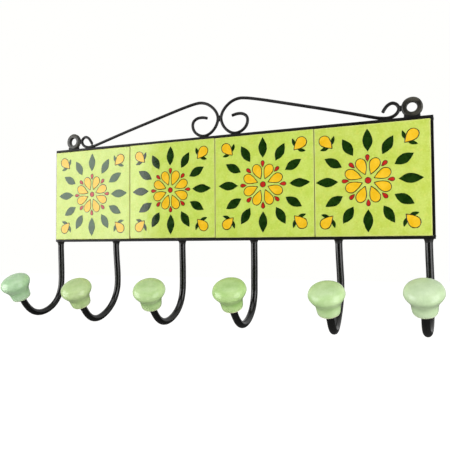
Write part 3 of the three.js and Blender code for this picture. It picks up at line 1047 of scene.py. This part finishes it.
for k, (hx, bow, sway, reach, drop, lean, tilt) in enumerate(HOOKS):
    n = k + 1
    le, ti = math.radians(lean), math.radians(tilt)
    axis = Vector((math.sin(ti), -math.sin(le) * math.cos(ti), math.cos(le) * math.cos(ti)))
    base = Vector((hx + sway, KNOB_BASE[0] - reach, KNOB_BASE[1] - drop))
    pts = []
    for y, z in HOOK_SIDE:
        s = bend_share(y)
        pts.append((hx + sway * s + bow * heel_share(z), y - reach * s, z - drop * s))
    pts += [tuple(base - axis * 0.8), tuple(base + axis * ROD_IN_KNOB * 0.5), tuple(base + axis * ROD_IN_KNOB)]
    v, f = rod(pts, ROD_R, 28, 1.0, 20.0 + k, 0.012, 0.3)
    mesh_object(f"hook_bar_{n}", v, f, M_HOOK, sharp=60, replace=[f"hook_rod_{n}"])

    # Flared, slightly lumpy weld under the rail.
    prof = [(3.1, -3.1), (3.2, -3.15), (3.26, -2.6), (3.34, -1.9), (3.5, -1.2), (3.72, -0.6), (4.0, -0.1), (4.15, 0.28), (3.1, 0.28)]
    v, f = lathe(prof, 36, True, 0.10, 2.0 + k * 1.7)
    at = Matrix.Translation((hx * MM, -6.9 * MM, -53.05 * MM))
    mesh_object(f"hook_weld_bead_{n}", v, f, M_WELD, at=at, sharp=60, replace=[f"hook_weld_{n}"])

    v, f = lathe(KNOB_PROFILE, 72, False, 0.006, 4.0 + k)
    at = Matrix.Translation(base * MM) @ Vector((0, 0, 1)).rotation_difference(axis).to_matrix().to_4x4() @ Matrix.Rotation(k * 1.1, 4, "Z")
    mesh_object(f"mint_knob_{n}", v, f, M_KNOB[k], at=at, sharp=32, replace=[f"knob_{n}"])

# The CAD's own cement sleeves and adhesive beds stay, with real materials.
for name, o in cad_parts.items():
    mt = M_CEMENT if name.startswith("knob_cement") else M_GLUE if name.startswith("tile_adhesive") else None
    if mt:
        for s in o.material_slots:
            s.material = mt

# --------------------------------------------------------- floor and lighting

FLOOR_Z = -0.75
fl = bpy.data.meshes.new("floor")
fl.from_pydata([(-9, -9, FLOOR_Z), (9, -9, FLOOR_Z), (9, 9, FLOOR_Z), (-9, 9, FLOOR_Z)], [], [(0, 1, 2, 3)])
n = Nodes("pale_floor")
tone = n.ramp(n.noise(3.0, 2.0), [(0.0, (0.13, 0.13, 0.128, 1)), (1.0, (0.16, 0.16, 0.157, 1))])
seen_by = n.t.nodes.new("ShaderNodeLightPath")
n.set(Base_Color=tone, Roughness=0.9, Emission_Color=(1.0, 1.0, 0.985, 1.0), Emission_Strength=n.math("MULTIPLY", seen_by.outputs["Is Camera Ray"], 1.0))
fl.materials.append(n.mat)
floor = bpy.data.objects.new("floor", fl)
scene.collection.objects.link(floor)


def panel(name, where, aim, size, watts, colour=(1.0, 1.0, 1.0)):
    """A flat soft light facing a point. Sizes in metres."""
    d = bpy.data.lights.new(name, "AREA")
    d.shape = "RECTANGLE"
    d.size, d.size_y = size
    d.energy = watts
    d.color = colour
    o = bpy.data.objects.new(name, d)
    scene.collection.objects.link(o)
    o.location = where
    o.rotation_mode = "QUATERNION"
    o.rotation_quaternion = (Vector(aim) - Vector(where)).to_track_quat("-Z", "Y")
    return o


def radiance_to_watts(radiance, size):
    return radiance * math.pi * size[0] * size[1]


panel("left_panel", (-1.15, -0.77, 0.0), (0.0, 0.0, 0.0), (1.14, 1.3), radiance_to_watts(4.1, (1.14, 1.3)))
panel("right_panel", (0.84, -0.40, -0.05), (0.1, 0.0, -0.02), (0.62, 1.1), radiance_to_watts(3.5, (0.62, 1.1)))
panel("top_panel", (0.1, -0.5, 1.3), (0.0, -0.03, 0.0), (1.6, 1.0), radiance_to_watts(1.4, (1.6, 1.0)))
low = panel("low_panel", (0.35, -0.95, -0.5), (0.05, 0.0, -0.08), (0.9, 0.45), radiance_to_watts(2.1, (0.9, 0.45)))
low.visible_glossy = False

world = bpy.data.worlds.new("studio")
scene.world = world
world.use_nodes = True
wt = world.node_tree
wt.nodes.clear()
wo = wt.nodes.new("ShaderNodeOutputWorld")
seen = wt.nodes.new("ShaderNodeBackground")
seen.inputs[0].default_value = (1.0, 1.0, 0.985, 1.0)
seen.inputs[1].default_value = 1.0
fill = wt.nodes.new("ShaderNodeBackground")
fill.inputs[0].default_value = (1.0, 1.0, 1.0, 1.0)
tc = wt.nodes.new("ShaderNodeTexCoord")
sp = wt.nodes.new("ShaderNodeSeparateXYZ")
wt.links.new(tc.outputs["Generated"], sp.inputs[0])
mr = wt.nodes.new("ShaderNodeMapRange")
mr.interpolation_type = "SMOOTHSTEP"
mr.inputs["From Min"].default_value = -0.93
mr.inputs["From Max"].default_value = -0.45
mr.inputs["To Min"].default_value = 0.02
mr.inputs["To Max"].default_value = 0.15
wt.links.new(sp.outputs[1], mr.inputs["Value"])
behind = wt.nodes.new("ShaderNodeMapRange")
behind.interpolation_type = "SMOOTHSTEP"
behind.inputs["From Min"].default_value = -0.1
behind.inputs["From Max"].default_value = 0.5
behind.inputs["To Min"].default_value = 0.0
behind.inputs["To Max"].default_value = 0.45
wt.links.new(sp.outputs[1], behind.inputs["Value"])
both = wt.nodes.new("ShaderNodeMath")
both.operation = "ADD"
wt.links.new(mr.outputs[0], both.inputs[0])
wt.links.new(behind.outputs[0], both.inputs[1])
wt.links.new(both.outputs[0], fill.inputs[1])
lp = wt.nodes.new("ShaderNodeLightPath")
mx = wt.nodes.new("ShaderNodeMixShader")
wt.links.new(lp.outputs["Is Camera Ray"], mx.inputs[0])
wt.links.new(fill.outputs[0], mx.inputs[1])
wt.links.new(seen.outputs[0], mx.inputs[2])
wt.links.new(mx.outputs[0], wo.inputs[0])

scene.view_settings.view_transform = "Standard"
scene.view_settings.look = "None"
scene.view_settings.exposure = 0.0
scene.view_settings.gamma = 1.0
